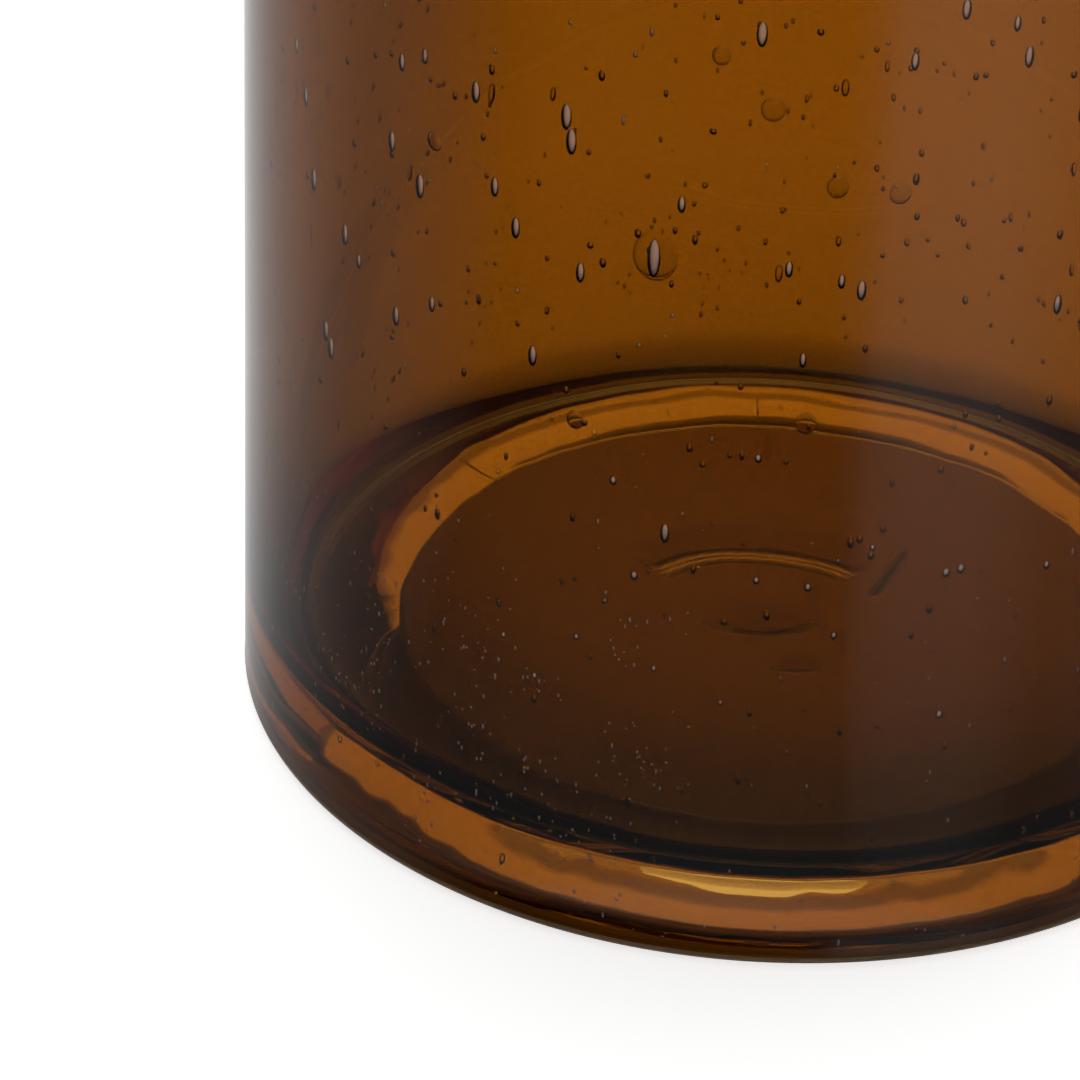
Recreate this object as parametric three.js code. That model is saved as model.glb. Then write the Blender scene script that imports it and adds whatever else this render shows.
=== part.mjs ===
// A mouth-blown cylinder vase in thick amber glass, standing on its heavy base.
// The glass is worked in four stages. The wall is drawn up from a heavy base, the lip is
// rounded in the flame, and the punty that held the vase leaves a scar under it. The bottom is
// pushed up in its middle while it is soft, so that the vase stands on a narrow foot ring.
// The stages meet on flat faces. Everything is turned about the Z axis, and Z = 0 is the table.
import * as THREE from "three";

// Driving dimensions, in millimetres
const OUTER_DIAMETER = 160;
const VASE_HEIGHT = 240;
const WALL_THICKNESS = 5.5;
const LIP_THICKNESS = 4.6;
const LIP_HEIGHT = 8;
const BASE_THICKNESS = 13.2;
const INNER_CORNER_RADIUS = 6.4;
const HEEL_RADIUS = 2.2;
const FOOT_RING_WIDTH = 4.8;
const KICK_HEIGHT = 5.9;
const KICK_HOLLOW_WIDTH = 17;
const KICK_SWELL_WIDTH = 3;
const PUNTY_SCAR_DIAMETER = 31;
const PUNTY_SCAR_THICKNESS = 1.6;
const PUNTY_SCAR_RING_WIDTH = 3;

// Facets round the vase, facets in each quarter turn of a rounded edge, and facets in each
// arc of the slope under the vase
const TURN_SEGMENTS = 72;
const ARC_SEGMENTS = 8;
const SLOPE_SEGMENTS = 6;

// Sizes that follow from the driving dimensions
const OUTER_RADIUS = OUTER_DIAMETER / 2;
const BORE_RADIUS = OUTER_RADIUS - WALL_THICKNESS;
const LIP_BORE_RADIUS = OUTER_RADIUS - LIP_THICKNESS;
const FOOT_RING_RADIUS = OUTER_RADIUS - FOOT_RING_WIDTH;
const CROWN_RADIUS = FOOT_RING_RADIUS - KICK_HOLLOW_WIDTH - KICK_SWELL_WIDTH;
const WALL_START = BASE_THICKNESS + INNER_CORNER_RADIUS;
const LIP_START = VASE_HEIGHT - LIP_HEIGHT;
const PUNTY_SCAR_RADIUS = PUNTY_SCAR_DIAMETER / 2;

// The same batch of glass throughout, rougher only where the punty was broken off
function amberGlass(color, roughness) {
  return new THREE.MeshStandardMaterial({
    color,
    roughness,
    metalness: 0,
    transparent: true,
    opacity: 0.8,
  });
}

// Profile points along an arc about a centre, both ends included
function arcPoints(centreRadius, centreHeight, radius, fromDegrees, toDegrees, steps) {
  const points = [];
  for (let step = 0; step <= steps; step += 1) {
    const degrees = fromDegrees + ((toDegrees - fromDegrees) * step) / steps;
    const angle = THREE.MathUtils.degToRad(degrees);
    points.push(new THREE.Vector2(
      centreRadius + radius * Math.cos(angle),
      centreHeight + radius * Math.sin(angle),
    ));
  }
  return points;
}

// Profile points down the slope of the pushed-up bottom, from the crown out to the foot ring.
// Two arcs meet where the slope is steepest, the inner one swelling and the outer one hollow.
function slopePoints() {
  const steepest = 2 * Math.atan(KICK_HEIGHT / (KICK_HOLLOW_WIDTH + KICK_SWELL_WIDTH));
  const steepestDegrees = THREE.MathUtils.radToDeg(steepest);
  const swellRadius = KICK_SWELL_WIDTH / Math.sin(steepest);
  const hollowRadius = KICK_HOLLOW_WIDTH / Math.sin(steepest);
  return [
    ...arcPoints(
      CROWN_RADIUS, KICK_HEIGHT - swellRadius, swellRadius,
      90, 90 - steepestDegrees, SLOPE_SEGMENTS,
    ),
    ...arcPoints(
      FOOT_RING_RADIUS, hollowRadius, hollowRadius,
      -90 - steepestDegrees, -90, SLOPE_SEGMENTS,
    ).slice(1),
  ];
}

// A profile of (radius, height) points, turned about the Z axis into one named solid
function turned(name, profile, material) {
  const geometry = new THREE.LatheGeometry(profile, TURN_SEGMENTS);
  geometry.rotateX(Math.PI / 2);
  const mesh = new THREE.Mesh(geometry, material);
  mesh.name = name;
  return mesh;
}

// The heavy base: a narrow flat foot ring with a soft heel, and inside it the pushed-up bottom.
// The floor of the vase is level, and turns up into the wall in a soft curve.
function makeBase() {
  const cornerCentre = BORE_RADIUS - INNER_CORNER_RADIUS;
  const heelCentre = OUTER_RADIUS - HEEL_RADIUS;
  return turned("base", [
    new THREE.Vector2(0, KICK_HEIGHT),
    ...slopePoints(),
    ...arcPoints(heelCentre, HEEL_RADIUS, HEEL_RADIUS, -90, 0, ARC_SEGMENTS),
    new THREE.Vector2(OUTER_RADIUS, WALL_START),
    ...arcPoints(cornerCentre, WALL_START, INNER_CORNER_RADIUS, 0, -90, ARC_SEGMENTS),
    new THREE.Vector2(0, BASE_THICKNESS),
  ], amberGlass(0x7a430e, 0.04));
}

// The wall: straight outside, and drawn a little thinner towards the lip inside
function makeWall() {
  return turned("wall", [
    new THREE.Vector2(OUTER_RADIUS, WALL_START),
    new THREE.Vector2(OUTER_RADIUS, LIP_START),
    new THREE.Vector2(LIP_BORE_RADIUS, LIP_START),
    new THREE.Vector2(BORE_RADIUS, WALL_START),
    new THREE.Vector2(OUTER_RADIUS, WALL_START),
  ], amberGlass(0x7d4408, 0.03));
}

// The lip: the last of the wall, melted to a full round at its edge
function makeLip() {
  const rounding = LIP_THICKNESS / 2;
  return turned("lip", [
    new THREE.Vector2(OUTER_RADIUS, LIP_START),
    ...arcPoints(
      OUTER_RADIUS - rounding, VASE_HEIGHT - rounding, rounding, 0, 180, 2 * ARC_SEGMENTS,
    ),
    new THREE.Vector2(LIP_BORE_RADIUS, LIP_START),
    new THREE.Vector2(OUTER_RADIUS, LIP_START),
  ], amberGlass(0x8c5216, 0.03));
}

// The punty scar: a thin wafer of glass left on the crown of the pushed-up bottom, with a
// thicker broken ring where the iron's edge was. It stays well clear of the table.
function makePuntyScar() {
  const ringUnderside = KICK_HEIGHT - PUNTY_SCAR_THICKNESS;
  const waferUnderside = KICK_HEIGHT - PUNTY_SCAR_THICKNESS / 2;
  const ringInside = PUNTY_SCAR_RADIUS - PUNTY_SCAR_RING_WIDTH;
  const ringCrest = PUNTY_SCAR_RADIUS - PUNTY_SCAR_RING_WIDTH / 2;
  return turned("punty_scar", [
    new THREE.Vector2(0, waferUnderside),
    new THREE.Vector2(ringInside, waferUnderside),
    new THREE.Vector2(ringCrest, ringUnderside),
    new THREE.Vector2(PUNTY_SCAR_RADIUS, waferUnderside),
    new THREE.Vector2(PUNTY_SCAR_RADIUS, KICK_HEIGHT),
    new THREE.Vector2(0, KICK_HEIGHT),
  ], amberGlass(0x8a5a26, 0.35));
}

const vase = new THREE.Group();
vase.add(makeBase(), makeWall(), makeLip(), makePuntyScar());

export default vase;
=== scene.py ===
import math
import random

import bmesh
import bpy
from mathutils import Matrix, Vector, noise


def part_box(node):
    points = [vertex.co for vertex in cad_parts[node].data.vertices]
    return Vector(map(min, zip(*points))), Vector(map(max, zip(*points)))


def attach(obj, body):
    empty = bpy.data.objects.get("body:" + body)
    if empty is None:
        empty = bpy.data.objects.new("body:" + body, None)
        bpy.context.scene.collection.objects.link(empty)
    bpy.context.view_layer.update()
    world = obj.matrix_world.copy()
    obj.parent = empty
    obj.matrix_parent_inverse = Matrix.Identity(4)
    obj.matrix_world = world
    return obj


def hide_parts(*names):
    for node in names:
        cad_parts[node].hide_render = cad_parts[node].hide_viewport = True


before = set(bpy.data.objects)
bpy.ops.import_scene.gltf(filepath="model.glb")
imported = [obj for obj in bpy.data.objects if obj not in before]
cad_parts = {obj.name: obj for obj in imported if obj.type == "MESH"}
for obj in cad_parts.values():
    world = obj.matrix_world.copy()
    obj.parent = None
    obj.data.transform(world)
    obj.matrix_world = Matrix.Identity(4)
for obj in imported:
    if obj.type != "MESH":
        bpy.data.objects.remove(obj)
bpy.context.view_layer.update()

# Camera: a long lens in front of the vase and above it, aimed at its lower left. The photograph
# crops the vase above and on the right, and leans a little, so the camera is rolled by as much.
lip_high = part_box("lip")[1]
vase_radius = lip_high[0]
vase_height = lip_high[2]
photo_width = 1080
lens_mm = 168.65
film_mm = 36.0
camera_place = Vector((-0.44, -8.20, 5.29)) * vase_radius
camera_pitch = math.radians(31.55)
camera_roll = math.radians(1.95)
camera_data = bpy.data.cameras.new("camera")
camera_data.sensor_width = film_mm
camera_data.lens = lens_mm
camera = bpy.data.objects.new("camera", camera_data)
camera.matrix_world = (
    Matrix.Translation(camera_place)
    @ Matrix.Rotation(math.pi / 2 - camera_pitch, 4, "X")
    @ Matrix.Rotation(camera_roll, 4, "Z")
)
bpy.context.collection.objects.link(camera)
bpy.context.scene.camera = camera

# Vase glass: one gather of clear glass cased in a thin amber skin, blown into a cylinder with a
# heavy base. The bottom was pushed up while soft, so it stands on a narrow foot ring, and the
# punty iron left a broken ring of glass on the crown of the pushed-up bottom.
wall_thickness = 0.0055
lip_thickness = 0.0046
floor_height = 0.0132
corner_radius = 0.0064
heel_radius = 0.0022
lip_rounding = lip_thickness / 2
bore_radius = vase_radius - wall_thickness
heel_middle = vase_radius - heel_radius
lip_middle = vase_radius - lip_rounding
scar_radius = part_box("punty_scar")[1][0]
mark_reach = 1.9 * scar_radius
# a height inside the base's glass, above all of its underside and below all of its floor
mid_base = 0.0095
# steepness of the pushed-up bottom in degrees, at fractions of the vase's radius
bottom_slopes = [
    (0.940, 0.0), (0.895, 6.6), (0.880, 9.0), (0.850, 12.0), (0.810, 16.5), (0.770, 21.0),
    (0.730, 25.0), (0.705, 28.0), (0.700, 28.0), (0.690, 2.0), (0.600, 1.0), (0.400, 0.0),
    (0.000, 0.0),
]
foot_ring_radius = bottom_slopes[0][0] * vase_radius
level_radius = 0.4 * vase_radius
slope_step = 0.0004
# a short first step beside each curve, so that its shading doesn't spread along the straight
short_step, foot_step = 0.0004, 0.0003
around = 240
same_place = 1e-6


def bottom_slope(fraction):
    for (outer, outer_slope), (inner, inner_slope) in zip(bottom_slopes, bottom_slopes[1:]):
        if inner <= fraction <= outer:
            share = (outer - fraction) / (outer - inner)
            return math.radians(outer_slope + (inner_slope - outer_slope) * share)
    return 0.0


def add_arc(outline, centre_r, centre_z, radius, start, end, steps):
    for step in range(steps + 1):
        angle = math.radians(start + (end - start) * step / steps)
        outline.append((centre_r + radius * math.cos(angle), centre_z + radius * math.sin(angle)))


def add_line(outline, r, z, steps):
    last_r, last_z = outline[-1]
    for step in range(1, steps + 1):
        share = step / steps
        outline.append((last_r + (r - last_r) * share, last_z + (z - last_z) * share))


def turn_outline(outline):
    mesh = bmesh.new()
    verts = [mesh.verts.new((r, 0.0, z)) for r, z in outline]
    edges = [mesh.edges.new(pair) for pair in zip(verts, verts[1:])]
    bmesh.ops.spin(
        mesh, geom=verts + edges, cent=(0, 0, 0), axis=(0, 0, 1),
        angle=math.tau, steps=around, use_merge=True, use_duplicate=False,
    )
    bmesh.ops.remove_doubles(mesh, verts=mesh.verts, dist=same_place)
    bmesh.ops.recalc_face_normals(mesh, faces=mesh.faces)
    for face in mesh.faces:
        face.smooth = True
    return mesh


def add_piece(name, mesh, material):
    data = bpy.data.meshes.new(name)
    mesh.to_mesh(data)
    mesh.free()
    data.materials.append(material)
    piece = bpy.data.objects.new(name, data)
    bpy.context.collection.objects.link(piece)
    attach(piece, "root")
    return piece


bottom = [(foot_ring_radius, 0.0)]
while bottom[-1][0] > level_radius:
    r, z = bottom[-1]
    rise = math.tan(bottom_slope((r - slope_step / 2) / vase_radius)) * slope_step
    bottom.append((r - slope_step, z + rise))
crown_height = bottom[-1][1]
outline = [(0.0, crown_height)]
add_line(outline, mark_reach, crown_height, 60)
add_line(outline, bottom[-1][0], crown_height, 8)
outline += reversed(bottom[:-1])
add_line(outline, heel_middle - foot_step, 0.0, 4)
add_arc(outline, heel_middle, heel_radius, heel_radius, -90, 0, 12)
add_line(outline, vase_radius, heel_radius + short_step, 1)
add_line(outline, vase_radius, vase_height - lip_rounding - short_step, 56)
add_arc(outline, lip_middle, vase_height - lip_rounding, lip_rounding, 0, 180, 16)
add_line(outline, vase_radius - lip_thickness, vase_height - lip_rounding - short_step, 1)
add_line(outline, bore_radius, floor_height + corner_radius + short_step, 56)
add_arc(outline, bore_radius - corner_radius, floor_height + corner_radius, corner_radius,
        0, -90, 12)
add_line(outline, bore_radius - corner_radius - short_step, floor_height, 1)
add_line(outline, 0.0, floor_height, 24)
mesh = turn_outline(outline)
# turning rounds the numbers, so the glass is drawn in by a hair to stay within its size
hair = 0.99999
bmesh.ops.scale(mesh, vec=(hair, hair, 1.0), verts=mesh.verts)


def clipped(value):
    return min(1.0, max(0.0, value))


# the base came out thinner behind, where its foot ring is narrower, and the curve between floor
# and wall is wider on the right and a little on the left: by bearing in degrees from the front,
# each side starts to widen, rises to its full width, and falls off towards the back
thin_drop = 0.0024
foot_growth = 0.036
behind_start, behind_rise = -0.1, 0.9
right_growth, left_growth = 0.0026 / corner_radius, 0.0018 / corner_radius
right_start, right_rise = 6, 34
left_start, left_rise = 12, 22
side_end, side_fall = 170, 60
corner_reach = corner_radius + short_step
corner_fade = 0.03
margin, fine_margin = 0.0001, 0.00001
for vert in mesh.verts:
    x, y, z = vert.co
    r = math.hypot(x, y)
    if r < margin or r > bore_radius + fine_margin and z > heel_radius:
        continue
    behind = clipped((y / vase_radius - behind_start) / behind_rise)
    behind = behind * behind * (3 - 2 * behind)
    if z < mid_base:
        if r < foot_ring_radius + margin:
            vert.co.xy *= 1 + foot_growth * behind
        continue
    inward, upward = bore_radius - r, z - floor_height
    if r > level_radius:
        bearing = math.degrees(math.atan2(x, -y))
        right = (clipped((bearing - right_start) / right_rise)
                 * clipped((side_end - bearing) / side_fall))
        left = (clipped((-bearing - left_start) / left_rise)
                * clipped((side_end + bearing) / side_fall))
        growth = right_growth * right * right * (3 - 2 * right) + left_growth * left
        if inward <= corner_reach and upward <= corner_reach:
            inward, upward = inward * (1 + growth), upward * (1 + growth)
        elif inward < upward:
            upward += growth * corner_reach * max(0.0, 1 - (upward - corner_reach) / corner_fade)
        else:
            inward += growth * corner_reach * max(0.0, 1 - (inward - corner_reach) / corner_fade)
    upward -= thin_drop * behind * max(0.0, 1 - max(0.0, upward - corner_reach) / corner_fade)
    share = (bore_radius - inward) / r
    vert.co = Vector((x, y, 0.0)) * share + Vector((0, 0, floor_height + upward))


def swim(point, waves, shift=(0.0, 0.0, 0.0)):
    return noise.noise(Vector([part * wave + move
                               for part, wave, move in zip(point, waves, shift)]))


# hand-made unevenness: the wall and the floor swim a little, by depths in metres and waves to the
# metre, and the slope under the vase wanders in and out, in coarse and fine waves round it
outer_depth, outer_waves = 0.00006, (22, 22, 9)
inner_depth, inner_waves, inner_shift = 0.00018, (26, 26, 7), (7, 0, 0)
streak_depth, streak_waves, streak_shift = 0.00002, (160, 160, 6), (0, 0, 3)
floor_depth, floor_waves, floor_shift = 0.00012, (40, 40, 0), (0, 0, 5)
inner_margin, lip_fade, floor_fade = 0.001, 0.02, 0.01
slope_wander = [
    (0.0009, 2.2, 4, 0),
    (0.0005, 7, 0, 20),
    (0.00012, 30, 0, 40),
]
foot_margin, foot_fade = 0.0005, 0.006
crown_start, crown_fade = 1.3 * scar_radius, 0.01
for vert in mesh.verts:
    point = tuple(vert.co)
    x, y, z = point
    r = math.hypot(x, y)
    if r < same_place:
        continue
    out = Vector((x / r, y / r, 0.0))
    if r > vase_radius - margin and z > heel_radius:
        vert.co -= out * outer_depth * (1 + swim(point, outer_waves))
    elif r > bore_radius - inner_margin and z > floor_height + corner_radius:
        fade = min(1.0, (vase_height - z) / lip_fade)
        depth = (inner_depth * swim(point, inner_waves, inner_shift)
                 + streak_depth * swim(point, streak_waves, streak_shift))
        vert.co += out * depth * fade
    elif z > mid_base:
        fade = min(1.0, (bore_radius - r) / floor_fade)
        vert.co.z += floor_depth * swim(point, floor_waves, floor_shift) * fade
    elif r < foot_ring_radius - foot_margin:
        wander = sum(depth * noise.noise(out * waves + Vector((0, 0, shift + r * drift)))
                     for depth, waves, shift, drift in slope_wander)
        fade = (min(1.0, (foot_ring_radius - r) / foot_fade)
                * clipped((r - crown_start) / crown_fade))
        vert.co += out * wander * fade

# the punty's mark: three arcs of a broken ring on the crown, and a tail. "ridge" gives the depth
# in metres at distances from the arc, plus to the outside. The next two lists give the distances
# of its frosted lines, which glow with painted gold light, and of the dark lines painted along
# its edge. The tail is a groove with a dark line painted in it. Bearings are in degrees.
mark_arcs = [
    {
        "middle": (-0.0015, -0.0069), "radius": 0.0240, "bearing": 91, "half_turn": 42, "fade": 6,
        "ridge": [(-0.0036, 0), (-0.0023, 0.0004), (-0.0016, 0.0004), (0, 0.0009), (0.0080, 0)],
        "frost_glow_lines": (-0.0001, -0.0016), "painted_dark_lines": (-0.0030, 0.0011),
    },
    {
        "middle": (-0.0010, 0.0113), "radius": 0.0170, "bearing": -88, "half_turn": 38, "fade": 24,
        "ridge": [(-0.0080, 0), (0, 0.0006), (0.0012, 0)],
        "frost_glow_lines": (), "painted_dark_lines": (-0.0004, 0.0004),
    },
    {
        "middle": (0.0035, 0.0015), "radius": 0.0172, "bearing": -88, "half_turn": 17, "fade": 12,
        "ridge": [(-0.0040, 0), (0, 0.0004), (0.0008, 0)],
        "frost_glow_lines": (), "painted_dark_lines": (0.0002,),
    },
]
arc_waver, waver_waves = 0.0006, 0.06
pale_width, dark_width = 0.00034, 0.00065
tail_start, tail_end, tail_depth = Vector((0.0165, 0.0060)), Vector((0.0225, 0.0200)), 0.0006


def between(value, stops):
    for (start, start_level), (end, end_level) in zip(stops, stops[1:]):
        if start <= value <= end:
            return start_level + (end_level - start_level) * (value - start) / (end - start)
    return 0.0


def line_at(distance, width):
    return math.exp(-(distance / width) ** 2)


# the mark's lines: frosted lines that glow with painted light, and dark lines painted along the
# edge and the tail
frost_and_dark_lines = mesh.verts.layers.float.new("frost_and_dark_lines")
frost_glow_edge = mesh.verts.layers.float.new("frost_glow_edge")
painted_dark_edge = mesh.verts.layers.float.new("painted_dark_edge")
for vert in mesh.verts:
    x, y, z = vert.co
    if z > mid_base or math.hypot(x, y) > mark_reach:
        continue
    depth = frost_glow = dark_line = 0.0
    for arc in mark_arcs:
        side = Vector((x, y)) - Vector(arc["middle"])
        turn = math.degrees(math.atan2(side.y, side.x)) - arc["bearing"]
        gap = (turn + 180) % 360 - 180
        waver = arc_waver * noise.noise(Vector((gap * waver_waves + arc["bearing"], 0.5, 8)))
        share = clipped((arc["half_turn"] - abs(gap)) / arc["fade"])
        past = side.length - arc["radius"] - waver
        depth = max(depth, share * between(past, arc["ridge"]))
        for line in arc["frost_glow_lines"]:
            frost_glow = max(frost_glow, share * line_at(past - line, pale_width))
        for line in arc["painted_dark_lines"]:
            dark_line = max(dark_line, share * line_at(past - line, dark_width))
    along = tail_end - tail_start
    side = Vector((x, y)) - tail_start
    share = clipped(side.dot(along) / along.length_squared)
    tail = line_at((side - along * share).length, dark_width)
    vert.co.z -= depth + tail_depth * tail
    vert[frost_glow_edge] = frost_glow
    vert[painted_dark_edge] = max(dark_line, tail)
    vert[frost_and_dark_lines] = max(frost_glow, dark_line, tail)


def new_material(name):
    material = bpy.data.materials.new(name)
    material.use_nodes = True
    tree = material.node_tree
    return material, tree, tree.nodes["Principled BSDF"].inputs


def read_place(tree, kind="Object"):
    place = tree.nodes.new("ShaderNodeTexCoord").outputs[kind]
    axes = tree.nodes.new("ShaderNodeSeparateXYZ")
    tree.links.new(place, axes.inputs[0])
    return place, axes.outputs


def read_edge(tree, name):
    node = tree.nodes.new("ShaderNodeAttribute")
    node.attribute_name = name
    return node.outputs["Fac"]


def join(tree, socket, value):
    if isinstance(value, bpy.types.NodeSocket):
        tree.links.new(value, socket)
    else:
        socket.default_value = value


def add_math(tree, operation, first, second=None):
    node = tree.nodes.new("ShaderNodeMath")
    node.operation = operation
    join(tree, node.inputs[0], first)
    if second is not None:
        join(tree, node.inputs[1], second)
    return node.outputs[0]


def add_range(tree, value, start, end, start_level=0.0, end_level=1.0, easing="LINEAR"):
    node = tree.nodes.new("ShaderNodeMapRange")
    node.interpolation_type = easing
    join(tree, node.inputs["Value"], value)
    node.inputs["From Min"].default_value = start
    node.inputs["From Max"].default_value = end
    node.inputs["To Min"].default_value = start_level
    node.inputs["To Max"].default_value = end_level
    return node.outputs["Result"]


def add_mix(tree, factor, first, second, blend="MIX"):
    node = tree.nodes.new("ShaderNodeMix")
    node.data_type = "RGBA"
    node.blend_type = blend
    join(tree, node.inputs["Factor"], factor)
    join(tree, node.inputs["A"], first)
    join(tree, node.inputs["B"], second)
    return node.outputs["Result"]


white = (1.0, 1.0, 1.0, 1.0)
painted_dark_brown = (0.03, 0.02, 0.02, 1.0)
painted_glow_gold = (1.0, 0.56, 0.16, 1.0)
dimmed_mirror = (0.12, 0.12, 0.12, 1.0)
clear_body, body_density = (0.55, 0.46, 0.20, 1.0), 22.0
line_clearness, painted_glow_level = 0.10, 0.30
ground_height, ground_roughness = 0.00012, 0.35
mirror_dim_reach, mirror_dim_end = 0.80 * vase_radius, 0.88 * vase_radius
glass, tree, shader = new_material("clear_glass")
place, axes = read_place(tree)
shader["Transmission Weight"].default_value = 1.0
shader["IOR"].default_value = 1.5
# the punty's mark is less clear along its lines: the frosted lines are pale and glow with painted
# gold light, and the dark lines along the edge and the tail are painted dark brown
edge_lines = read_edge(tree, "frost_and_dark_lines")
join(tree, shader["Transmission Weight"], add_range(tree, edge_lines, 0.0, 1.0, 1.0, line_clearness))
painted_glow = add_math(tree, "MULTIPLY", read_edge(tree, "frost_glow_edge"), painted_glow_level)
shader["Emission Color"].default_value = painted_glow_gold
join(tree, shader["Emission Strength"], painted_glow)
edge_colour = add_mix(tree, read_edge(tree, "painted_dark_edge"), white, painted_dark_brown)
join(tree, shader["Base Color"], edge_colour)
# the foot ring is ground flat, and matt
ground = add_math(tree, "LESS_THAN", axes["Z"], ground_height)
join(tree, shader["Roughness"], add_math(tree, "MULTIPLY", ground, ground_roughness))
# the floor inside, out to 0.8 of the radius, has its reflection dimmed to 0.12, which darkens it
level = tree.nodes.new("ShaderNodeVectorMath")
level.operation = "MULTIPLY"
level.inputs[1].default_value = (1.0, 1.0, 0.0)
tree.links.new(place, level.inputs[0])
away = tree.nodes.new("ShaderNodeVectorMath")
away.operation = "LENGTH"
tree.links.new(level.outputs[0], away.inputs[0])
mirror_dimming = add_range(tree, away.outputs["Value"], mirror_dim_reach, mirror_dim_end, 1.0, 0.0)
above = add_math(tree, "GREATER_THAN", axes["Z"], mid_base)
dimmed_floor = add_math(tree, "MULTIPLY", mirror_dimming, above)
join(tree, shader["Specular Tint"], add_mix(tree, dimmed_floor, white, dimmed_mirror))
body = tree.nodes.new("ShaderNodeVolumeAbsorption")
body.inputs["Color"].default_value = clear_body
body.inputs["Density"].default_value = body_density
tree.links.new(body.outputs["Volume"], tree.nodes["Material Output"].inputs["Volume"])
vase = add_piece("vase_glass", mesh, glass)
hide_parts("base", "wall", "lip", "punty_scar")

# Amber casing: the thin coat of amber glass that the clear gather was dipped in, a millimetre
# under the surface of the wall from the foot ring over the lip. It tints the light, and bends none.
casing_depth = 0.0012
casing_thickness = 0.0004
heel_outside = heel_radius - casing_depth
heel_inside = heel_outside - casing_thickness
lip_outside = lip_rounding - casing_depth
lip_inside = lip_outside - casing_thickness
outline = []
add_arc(outline, heel_middle, heel_radius, heel_outside, -90, 0, 8)
add_line(outline, vase_radius - casing_depth, vase_height - lip_rounding, 48)
add_arc(outline, lip_middle, vase_height - lip_rounding, lip_outside, 0, 90, 8)
add_arc(outline, lip_middle, vase_height - lip_rounding, lip_inside, 90, 0, 8)
add_line(outline, vase_radius - casing_depth - casing_thickness, heel_radius, 48)
add_arc(outline, heel_middle, heel_radius, heel_inside, 0, -90, 8)
outline.append(outline[0])
mesh = turn_outline(outline)

amber_thin = (0.53, 0.295, 0.062, 1.0)
amber_thick = (0.485, 0.255, 0.038, 1.0)
casing_glass, tree, shader = new_material("amber_casing")
shader["Transmission Weight"].default_value = 1.0
shader["Roughness"].default_value = 0.0
shader["IOR"].default_value = 1.0
stretch = tree.nodes.new("ShaderNodeMapping")
stretch.inputs["Scale"].default_value = (24.0, 24.0, 5.0)
tree.links.new(tree.nodes.new("ShaderNodeTexCoord").outputs["Object"], stretch.inputs["Vector"])
cloud = tree.nodes.new("ShaderNodeTexNoise")
cloud.inputs["Scale"].default_value = 1.0
cloud.inputs["Detail"].default_value = 2.0
tree.links.new(stretch.outputs[0], cloud.inputs["Vector"])
amber = add_mix(tree, cloud.outputs["Fac"], amber_thin, amber_thick)
join(tree, shader["Base Color"], amber)
add_piece("amber_casing", mesh, casing_glass)

# Seeds: the air bubbles caught between the clear glass and its amber skin, drawn out upright as
# the wall was blown. The larger are placed where the photograph shows them, and hundreds of small
# ones are strewn round the vase.
focus = lens_mm / film_mm * photo_width
seed_depth = 0.00062
seed_flatness = 0.00042


def bearing_and_height(pixel_x, pixel_y):
    across = Vector((pixel_x - photo_width / 2, photo_width / 2 - pixel_y, -focus))
    ray = (camera.matrix_world.to_3x3() @ across).normalized()
    ahead = ray.x * ray.x + ray.y * ray.y
    toward = camera_place.x * ray.x + camera_place.y * ray.y
    short = camera_place.x ** 2 + camera_place.y ** 2 - vase_radius ** 2
    reach = (-toward - math.sqrt(max(0.0, toward * toward - ahead * short))) / ahead
    point = camera_place + ray * reach
    return math.atan2(point.y, point.x), point.z


balls = {}


def add_bubble(mesh, centre, bearing, size, facets):
    if facets not in balls:
        ball = bmesh.new()
        bmesh.ops.create_uvsphere(ball, u_segments=facets, v_segments=facets // 2 + 2, radius=1.0)
        for face in ball.faces:
            face.smooth = True
        balls[facets] = bpy.data.meshes.new("ball")
        ball.to_mesh(balls[facets])
        ball.free()
    across, deep, tall = size
    bubble = balls[facets].copy()
    bubble.transform(Matrix.Translation(centre) @ Matrix.Rotation(bearing + math.pi / 2, 4, "Z")
                     @ Matrix.Diagonal((across, deep, tall, 1.0)))
    mesh.from_mesh(bubble)
    bpy.data.meshes.remove(bubble)


def add_wall_bubble(mesh, bearing, height, size, facets, depth=seed_depth):
    reach = vase_radius - depth
    centre = Vector((reach * math.cos(bearing), reach * math.sin(bearing), height))
    add_bubble(mesh, centre, bearing, size, facets)


def add_drop(mesh, bearing, height, long, facets):
    across = 0.36 * long + 0.0001
    add_wall_bubble(mesh, bearing, height, (across, seed_flatness, long), facets)


# air in glass; where its outer skin is seen face on it glows with a painted pale pink sheen, a
# painted reflection of the room, which fades out towards a dark edge
haze_thin = (0.90, 0.88, 0.88, 1.0)
painted_sheen_pink = (1.0, 0.90, 0.86, 1.0)
painted_sheen_start = 0.02


def make_air(name, painted_sheen_end=0.0, painted_sheen_level=0.0):
    air, tree, shader = new_material(name)
    shader["Transmission Weight"].default_value = 1.0
    shader["Roughness"].default_value = 0.0
    shader["IOR"].default_value = 1 / 1.5
    haze = tree.nodes.new("ShaderNodeTexNoise")
    haze.inputs["Scale"].default_value = 400.0
    tree.links.new(tree.nodes.new("ShaderNodeTexCoord").outputs["Object"], haze.inputs["Vector"])
    join(tree, shader["Base Color"], add_mix(tree, haze.outputs["Fac"], white, haze_thin))
    # painted sheen: the outer skin glows where it is seen face on, in place of a reflection
    if painted_sheen_level > 0.0:
        facing = tree.nodes.new("ShaderNodeLayerWeight").outputs["Facing"]
        painted_sheen = add_range(tree, facing, painted_sheen_start, painted_sheen_end, painted_sheen_level, 0.0, "SMOOTHSTEP")
        inner_skin = tree.nodes.new("ShaderNodeNewGeometry").outputs["Backfacing"]
        outer_skin = add_math(tree, "SUBTRACT", 1.0, inner_skin)
        shader["Emission Color"].default_value = painted_sheen_pink
        join(tree, shader["Emission Strength"], add_math(tree, "MULTIPLY", outer_skin, painted_sheen))
    return air


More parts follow.
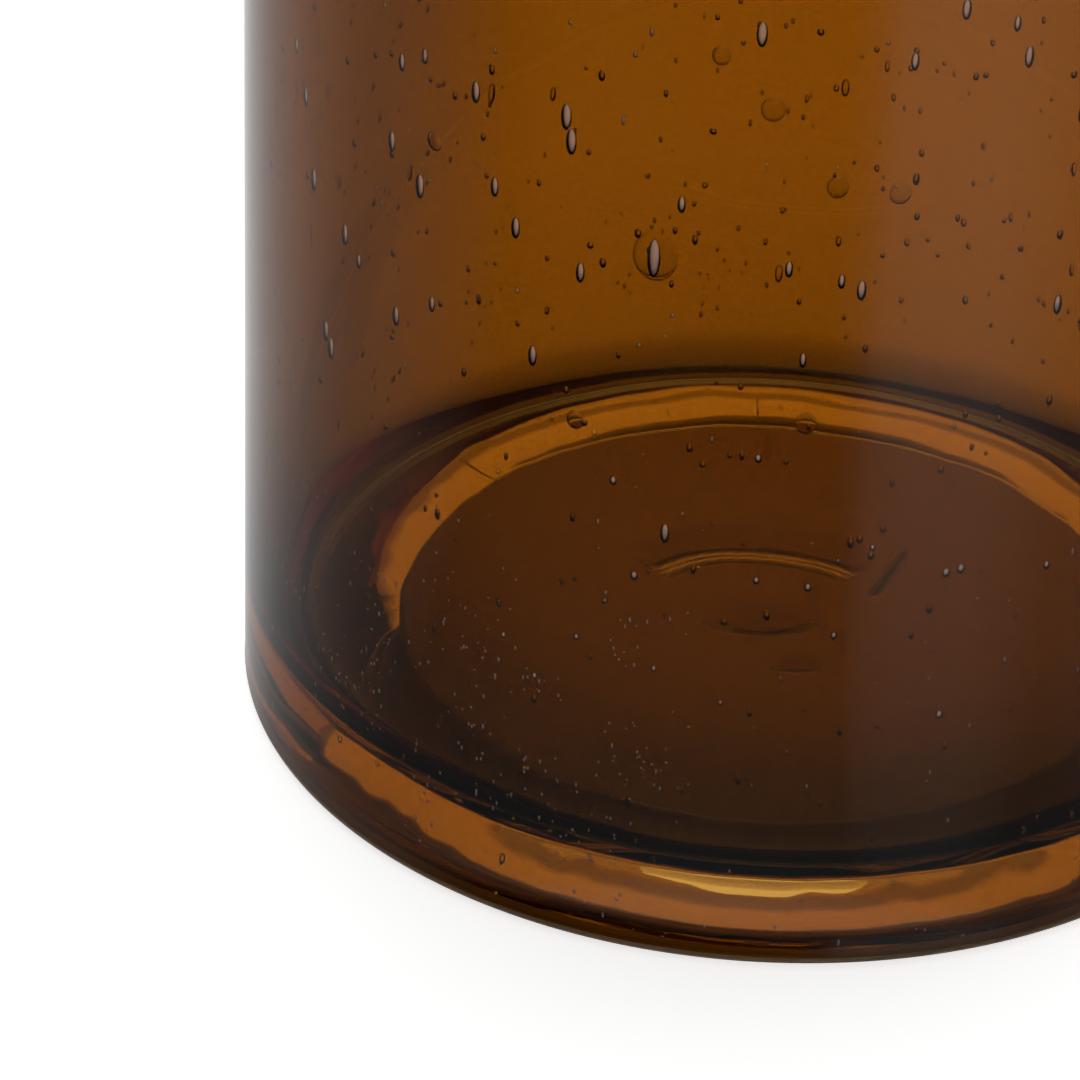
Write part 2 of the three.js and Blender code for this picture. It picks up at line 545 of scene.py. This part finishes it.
chance = random.Random(11)
drop_pixels = [
    (304, 97), (390, 142), (418, 187), (493, 188), (579, 274), (531, 357), (430, 305), (394, 317),
    (324, 331), (329, 349), (423, 57), (400, 63), (295, 46), (312, 180), (343, 235), (357, 262),
    (565, 118), (570, 143), (474, 93), (514, 229), (789, 271), (842, 283), (862, 292), (803, 362),
    (681, 206), (916, 63), (1019, 25), (968, 11), (1059, 306), (762, 36), (664, 535),
]
round_pixels = [
    (758, 460), (756, 582), (808, 589), (834, 637), (873, 549), (947, 574), (962, 570), (940, 716),
    (1048, 566), (575, 638), (502, 636), (653, 670), (720, 704), (612, 482), (533, 677), (633, 577),
]
largest_pixel = (653, 260)
largest_size, largest_ring = (0.0009, 0.00045, 0.0028), (0.0030, 0.00014, 0.0036)
largest_ring_depth = 0.0018
shown_height = 1.75 * vase_radius
lowest_drop, top_margin = 0.02, 0.006
back_count, upper_count = 90, 60
drops = bmesh.new()
for pixel_x, pixel_y in drop_pixels:
    bearing, height = bearing_and_height(pixel_x, pixel_y)
    add_drop(drops, bearing, height, chance.uniform(0.0011, 0.0019), 16)
for pixel_x, pixel_y in round_pixels:
    bearing, height = bearing_and_height(pixel_x, pixel_y)
    wide = chance.uniform(0.00036, 0.00060)
    add_wall_bubble(drops, bearing, height, (wide, seed_flatness, 1.3 * wide), 12)
add_wall_bubble(drops, *bearing_and_height(*largest_pixel), largest_size, 24)
# drops round the back, and in front above what the photograph shows
for count in range(back_count):
    bearing = chance.uniform(0.02 * math.pi, 0.98 * math.pi)
    height = chance.uniform(lowest_drop, vase_height - top_margin)
    add_drop(drops, bearing, height, chance.uniform(0.0008, 0.0019), 12)
for count in range(upper_count):
    bearing = chance.uniform(-math.pi, 0.0)
    height = chance.uniform(shown_height, vase_height - top_margin)
    add_drop(drops, bearing, height, chance.uniform(0.0008, 0.0019), 12)
# the drops' outer skins glow with a painted sheen
add_piece("wall_bubbles", drops, make_air("trapped_air", 0.20, 0.11))

# Flattened seeds: bubbles pressed flat in the wall as it was blown. The wide ones show as a thin
# ring, one of them behind the largest drop, and the small ones as dark dots.
flat_pixels = [(433, 142), (901, 195), (838, 189), (721, 57), (773, 111), (806, 425), (574, 421)]
flat_thickness = 0.00015
dot_count, dot_widths, lowest_dot = 1250, (0.00026, 0.00033, 0.00041, 0.00050), 0.018
flats = bmesh.new()
add_wall_bubble(flats, *bearing_and_height(*largest_pixel), largest_ring, 32, largest_ring_depth)
for pixel_x, pixel_y in flat_pixels:
    bearing, height = bearing_and_height(pixel_x, pixel_y)
    wide = chance.uniform(0.0011, 0.0016)
    add_wall_bubble(flats, bearing, height, (wide, flat_thickness, 1.1 * wide), 20)
for count in range(dot_count):
    bearing = chance.uniform(-math.pi, math.pi)
    height = chance.uniform(lowest_dot, vase_height - top_margin)
    wide = chance.choice(dot_widths)
    tall = wide * chance.uniform(1.0, 1.9)
    add_wall_bubble(flats, bearing, height, (wide, min(wide, seed_flatness), tall), 8)
add_piece("flat_bubbles", flats, make_air("clear_air"))

# Fine seeds: the smallest bubbles, all round the vase and in clusters low on its wall, most of
# them in front on the left. They are too small to mirror a shape, and show as pale specks from a
# painted sheen that glows on their skins.
speck_count, speck_widths = 450, (0.00014, 0.00018, 0.00024, 0.00030)
cluster_count, front_clusters, cluster_height = 56, 40, 0.009
seeds = bmesh.new()
for count in range(speck_count):
    bearing = chance.uniform(-math.pi, math.pi)
    height = heel_radius + (vase_height - 0.008) * chance.random() ** 1.25
    small = chance.choice(speck_widths)
    long = small * chance.uniform(1.0, 2.4)
    add_wall_bubble(seeds, bearing, height, (small, small, long), 6)
for cluster in range(cluster_count):
    bearing = chance.uniform(-math.pi, math.pi)
    if cluster < front_clusters:
        bearing = math.radians(chance.uniform(-172, -100))
    height = chance.uniform(0.006, 0.05)
    for count in range(chance.randint(4, 11)):
        small = chance.uniform(0.00013, 0.00027)
        turn, rise = chance.gauss(0, 0.03), chance.uniform(0, cluster_height)
        size = (small, small, small * chance.uniform(1.0, 2.2))
        add_wall_bubble(seeds, bearing + turn, height + rise, size, 6)
add_piece("fine_seeds", seeds, make_air("speck_air", 0.6, 0.045))

# Base bubbles: the rounder bubbles left in the thick base, where the glass was hardly stretched.
# They lie a few millimetres under the floor.
bubble_count, bubble_widths = 70, (0.00016, 0.00022, 0.00032, 0.00045)
bubble_reach = 0.9 * vase_radius
base_bubbles = bmesh.new()
for count in range(bubble_count):
    bearing = chance.uniform(-math.pi, math.pi)
    reach = bubble_reach * math.sqrt(chance.random())
    small = chance.choice(bubble_widths)
    centre = Vector((reach * math.cos(bearing), reach * math.sin(bearing),
                     floor_height - chance.uniform(0.0010, 0.0045)))
    add_bubble(base_bubbles, centre, 0.0, (small, small, 1.5 * small), 10)
# the base bubbles' outer skins glow with a strong painted sheen
add_piece("base_bubbles", base_bubbles, make_air("base_air", 0.40, 0.30))

# Floor: the table, plain and pale, a hair under the foot ring. It looks white to the camera and
# keeps the vase's soft shadow. Seen through the glass it shows no lit surface but a painted glow:
# a painted shadow round the vase, deep only close to the foot, and a painted amber light under it.
floor_half_width, floor_drop = 12.0, 0.0001
floor_grey = (0.8, 0.8, 0.8, 1.0)
camera_glow = 0.75
painted_amber_light = (0.52, 0.205, 0.068, 1.0)
# levels of the painted shadow round the vase, and of the painted amber light under its bottom,
# at distances in its radii
round_reach = 2.6
round_levels = [
    (0.0, 0.0), (0.93, 0.0), (1.0, 0.2), (1.06, 0.38), (1.17, 0.55), (1.24, 0.68), (1.32, 0.76),
    (1.43, 0.83), (1.80, 0.90), (2.20, 0.98), (2.60, 1.0),
]
under_reach = 1.2
under_levels = [
    (0.0, 0.205), (0.33, 0.19), (0.62, 0.145), (0.74, 0.09), (0.84, 0.035), (0.92, 0.008),
    (1.0, 0.0), (1.20, 0.0),
]
vase_middle = (0.0, 0.0, 0.0)
under_middle = (0.10 * vase_radius, 0.45 * vase_radius, 0.0)
# painted shade: the glow seen through the glass falls to half towards the left and to nothing in
# front
left_end, left_start, left_level = -1.15 * vase_radius, -0.45 * vase_radius, 0.5
front_end, front_start = -0.2 * vase_radius, 0.8 * vase_radius


def add_ramp(tree, value, stops):
    ramp = tree.nodes.new("ShaderNodeValToRGB")
    elements = ramp.color_ramp.elements
    elements[0].position, elements[1].position = stops[0][0], stops[-1][0]
    for element, level in ((elements[0], stops[0][1]), (elements[1], stops[-1][1])):
        element.color = (level, level, level, 1.0)
    for position, level in stops[1:-1]:
        elements.new(position).color = (level, level, level, 1.0)
    tree.links.new(value, ramp.inputs["Fac"])
    return ramp.outputs["Color"]


def add_distance(tree, place, middle, reach):
    away = tree.nodes.new("ShaderNodeVectorMath")
    away.operation = "DISTANCE"
    away.inputs[1].default_value = middle
    tree.links.new(place, away.inputs[0])
    return add_math(tree, "DIVIDE", away.outputs["Value"], reach)


floor_mesh = bmesh.new()
bmesh.ops.create_grid(floor_mesh, x_segments=1, y_segments=1, size=floor_half_width)
bmesh.ops.translate(floor_mesh, vec=(0, 0, -floor_drop), verts=floor_mesh.verts)
floor_data = bpy.data.meshes.new("floor")
floor_mesh.to_mesh(floor_data)
floor_mesh.free()
floor = bpy.data.objects.new("floor", floor_data)
bpy.context.collection.objects.link(floor)
floor.visible_glossy = False
floor_paint, tree, shader = new_material("floor_paint")
place, axes = read_place(tree)
rays = tree.nodes.new("ShaderNodeLightPath").outputs
shader["Base Color"].default_value = floor_grey
shader["Roughness"].default_value = 0.9
shader["Specular IOR Level"].default_value = 0.0
shader["Emission Color"].default_value = white
glow = add_math(tree, "MULTIPLY", rays["Is Camera Ray"], camera_glow)
join(tree, shader["Emission Strength"], glow)
from_vase = add_distance(tree, place, vase_middle, round_reach * vase_radius)
from_under = add_distance(tree, place, under_middle, under_reach * vase_radius)
painted_shadow = add_ramp(tree, from_vase, [(radii / round_reach, level) for radii, level in round_levels])
under = add_ramp(tree, from_under, [(radii / under_reach, level) for radii, level in under_levels])
left_side = add_range(tree, axes["X"], left_end, left_start, left_level, 1.0, "SMOOTHSTEP")
front_side = add_range(tree, axes["Y"], front_end, front_start, 0.0, 1.0, "SMOOTHSTEP")
open_side = add_math(tree, "MULTIPLY", left_side, front_side)
open_level = add_math(tree, "MULTIPLY", painted_shadow, open_side)
painted_under_light = add_mix(tree, 1.0, under, painted_amber_light, "MULTIPLY")
# seen through the glass the table is this painted glow: the painted shadow with its painted shade
# on the left and in front, lightened by the painted amber light under the vase
painted_table_glow = tree.nodes.new("ShaderNodeEmission")
join(tree, painted_table_glow.inputs["Color"], add_mix(tree, 1.0, painted_under_light, open_level, "LIGHTEN"))
table = tree.nodes.new("ShaderNodeMixShader")
tree.links.new(rays["Is Transmission Ray"], table.inputs[0])
tree.links.new(tree.nodes["Principled BSDF"].outputs[0], table.inputs[1])
tree.links.new(painted_table_glow.outputs[0], table.inputs[2])
tree.links.new(table.outputs[0], tree.nodes["Material Output"].inputs["Surface"])
floor_data.materials.append(floor_paint)

# Studio: a white screen behind that reaches overhead, with a dark gap in it and a dark strip
# under it, and a dim room in front. The wall of the vase mirrors what lies low round it.
screen_edge, screen_full = -0.05, 0.40
dim_end, dim_start, dim_level = -0.85, -0.30, 0.35
ease_start, ease_end, eased_level = math.radians(-29.5), math.radians(-35), 0.5
# levels of the screen and of the room in front, by degrees above the horizon
back_levels = [
    (0, 0.08), (8, 0.12), (16, 0.5), (19, 1.5), (44, 1.65), (50, 0.8), (57, 0.8), (61, 1.55),
    (90, 1.55),
]
front_levels = [(0, 0.1), (30, 0.15), (60, 0.3), (90, 1.0)]
# level low round the vase by degrees from the front, minus to the left and plus to the right
table_levels = [
    (-180, 0.80), (-165, 0.80), (-150, 0.68), (-136, 0.52), (-119, 0.36), (-104, 0.24),
    (-90, 0.20), (-75, 0.10), (-62, 0.0), (6, 0.0), (12, 0.1), (17, 0.33), (24, 0.42),
    (38, 0.42), (46, 0.34), (58, 0.18), (100, 0.3), (180, 0.5),
]
# close to the foot the table is paler, and lifts what the wall mirrors low down, by degrees down
near_start, near_span = 29, 8.0
near_levels = [
    (29.0, 0.0), (34.9, 0.14), (35.3, 0.2), (35.6, 0.5), (35.9, 0.5), (36.1, 0.12), (37.0, 0.10),
]
world = bpy.data.worlds.new("studio")
bpy.context.scene.world = world
world.use_nodes = True
tree = world.node_tree
place, axes = read_place(tree, "Generated")
tilt = add_math(tree, "ARCSINE", axes["Z"])
height = add_range(tree, tilt, 0.0, math.pi / 2)
back_screen = add_ramp(tree, height, [(degrees / 90, level) for degrees, level in back_levels])
front_room = add_ramp(tree, height, [(degrees / 90, level) for degrees, level in front_levels])
behind = add_range(tree, axes["Y"], screen_edge, screen_full, 0.0, 1.0, "SMOOTHSTEP")
left_dim = add_range(tree, axes["X"], dim_end, dim_start, dim_level, 1.0, "SMOOTHSTEP")
dimmed = add_math(tree, "MULTIPLY", back_screen, left_dim)
upper = add_mix(tree, behind, front_room, dimmed)
to_front = add_math(tree, "MULTIPLY", axes["Y"], -1.0)
turn = add_math(tree, "ARCTAN2", axes["X"], to_front)
bearing = add_range(tree, turn, -math.pi, math.pi)
round_vase = add_ramp(tree, bearing, [
    ((degrees + 180) / 360, level) for degrees, level in table_levels
])
near_turn = add_range(tree, tilt, math.radians(-near_start), math.radians(-near_start - near_span))
near_foot = add_ramp(tree, near_turn, [
    ((degrees - near_start) / near_span, level) for degrees, level in near_levels
])
easing = add_range(tree, tilt, ease_start, ease_end, 1.0, eased_level)
low_level = add_math(tree, "MAXIMUM", add_math(tree, "MULTIPLY", round_vase, easing), near_foot)
skyward = add_math(tree, "GREATER_THAN", axes["Z"], 0.0)
studio = add_mix(tree, skyward, low_level, upper)
to_camera = tree.nodes.new("ShaderNodeLightPath").outputs["Is Camera Ray"]
join(tree, tree.nodes["Background"].inputs["Color"], add_mix(tree, to_camera, studio, white))

scene = bpy.context.scene
scene.view_settings.view_transform = "Standard"
scene.cycles.max_bounces = 22
scene.cycles.transmission_bounces = 22
scene.cycles.glossy_bounces = 10
scene.cycles.use_denoising = True
